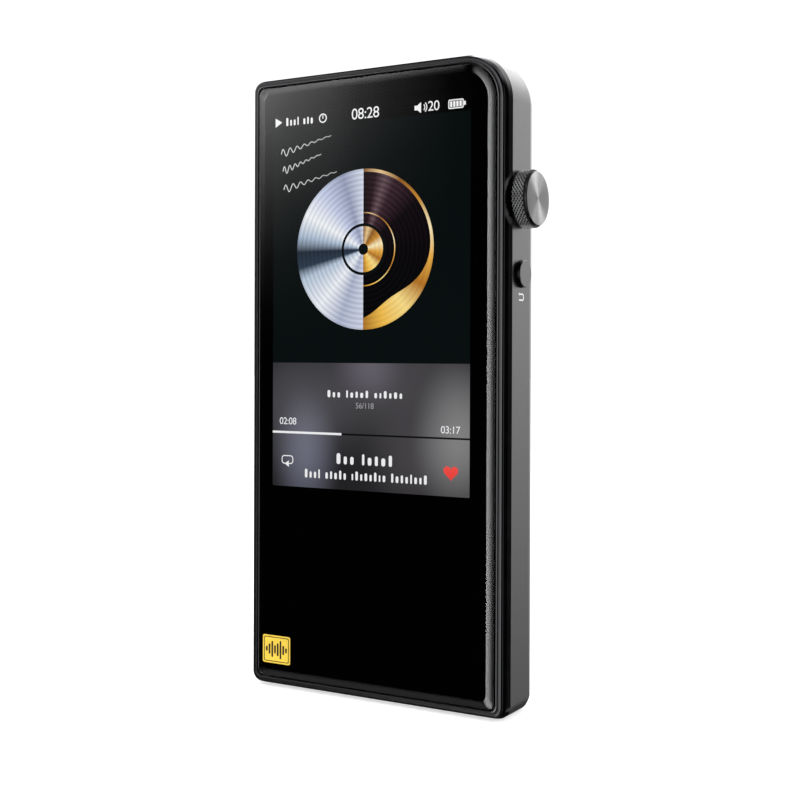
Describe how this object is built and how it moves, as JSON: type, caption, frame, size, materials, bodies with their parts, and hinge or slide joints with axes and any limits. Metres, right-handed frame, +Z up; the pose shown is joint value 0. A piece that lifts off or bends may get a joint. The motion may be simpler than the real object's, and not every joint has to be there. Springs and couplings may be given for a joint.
{
  "type": "digital audio player",
  "caption": "Pocket digital audio player with a tall display, a knurled volume wheel that also presses in, a round return key and sockets in its underside.",
  "frame": {"origin": "middle of the flat underside, where the player stands", "axes": "+Z up along the body's height, +X towards the side with the wheel, -Y out of the display"},
  "size_m": [0.0561, 0.0124, 0.113],
  "materials": {
    "frame_metal": "black anodised, fine satin",
    "wheel_metal": "black anodised, knurled",
    "key_metal": "black anodised, satin",
    "spun_aluminium": "spun, fine concentric lines",
    "bezel_plastic": "gloss black",
    "cover_glass": "polished, black behind",
    "display": "lit display cell",
    "diffuser": "white diffuser",
    "gasket": "black foam tape",
    "black_plastic": "moulded",
    "steel": "plain",
    "flex_film": "amber film",
    "circuit_board": "solder mask",
    "chip_epoxy": "moulded epoxy",
    "battery_foil": "laminated pouch",
    "red_insulation": "soft insulation",
    "black_insulation": "soft insulation"
  },
  "bodies": {
    "player_body": {"middle_frame": "frame_metal", "front_bezel": "bezel_plastic", "back_bezel": "bezel_plastic", "front_glass": "cover_glass", "back_glass": "cover_glass", "front_adhesive": "gasket", "back_adhesive": "gasket", "display_panel": "display", "backlight": "diffuser", "display_flex": "flex_film", "display_connector": "black_plastic", "encoder_bush": "steel", "encoder_body": "steel", "return_switch": "steel", "return_key_board": "circuit_board", "main_board": "circuit_board", "headphone_jack": "black_plastic", "balanced_jack": "black_plastic", "usb_c_shell": "steel", "usb_c_tongue": "black_plastic", "card_slot": "steel", "battery": "battery_foil", "battery_protection_board": "circuit_board", "battery_plug": "black_plastic", "battery_lead_red": "red_insulation", "battery_lead_black": "black_insulation", "processor": "chip_epoxy", "memory_chip": "chip_epoxy", "shield_can": "steel", "dac_left": "chip_epoxy", "dac_right": "chip_epoxy", "amplifier_1": "chip_epoxy", "amplifier_2": "chip_epoxy", "amplifier_3": "chip_epoxy", "amplifier_4": "chip_epoxy", "clock_crystal_1": "steel", "clock_crystal_2": "steel", "power_chip": "chip_epoxy", "wireless_module": "steel", "bluetooth_antenna": "flex_film", "board_screw_1": "steel", "board_screw_2": "steel", "board_screw_3": "steel", "board_screw_4": "steel", "board_screw_5": "steel", "board_screw_6": "steel"},
    "encoder_push": {"encoder_plunger": "black_plastic"},
    "wheel": {"volume_knob": "wheel_metal", "knob_cap": "spun_aluminium", "encoder_shaft": "steel"},
    "return_key": {"return_button": "key_metal", "return_plunger": "black_plastic"}
  },
  "joints": [
    {"name": "wheel_push", "type": "slide", "parent": "player_body", "child": "encoder_push", "axis": [-1, 0, 0], "range_m": [0, 0.00025], "stiffness_N_per_m": 6000, "springref_m": -0.0003},
    {"name": "wheel_turn", "type": "hinge", "parent": "encoder_push", "child": "wheel", "pos_m": [0, 0, 0.0882], "axis": [1, 0, 0], "continuous": true},
    {"name": "return_press", "type": "slide", "parent": "player_body", "child": "return_key", "axis": [-1, 0, 0], "range_m": [0, 0.0003], "stiffness_N_per_m": 3000, "springref_m": -0.0003}
  ]
}
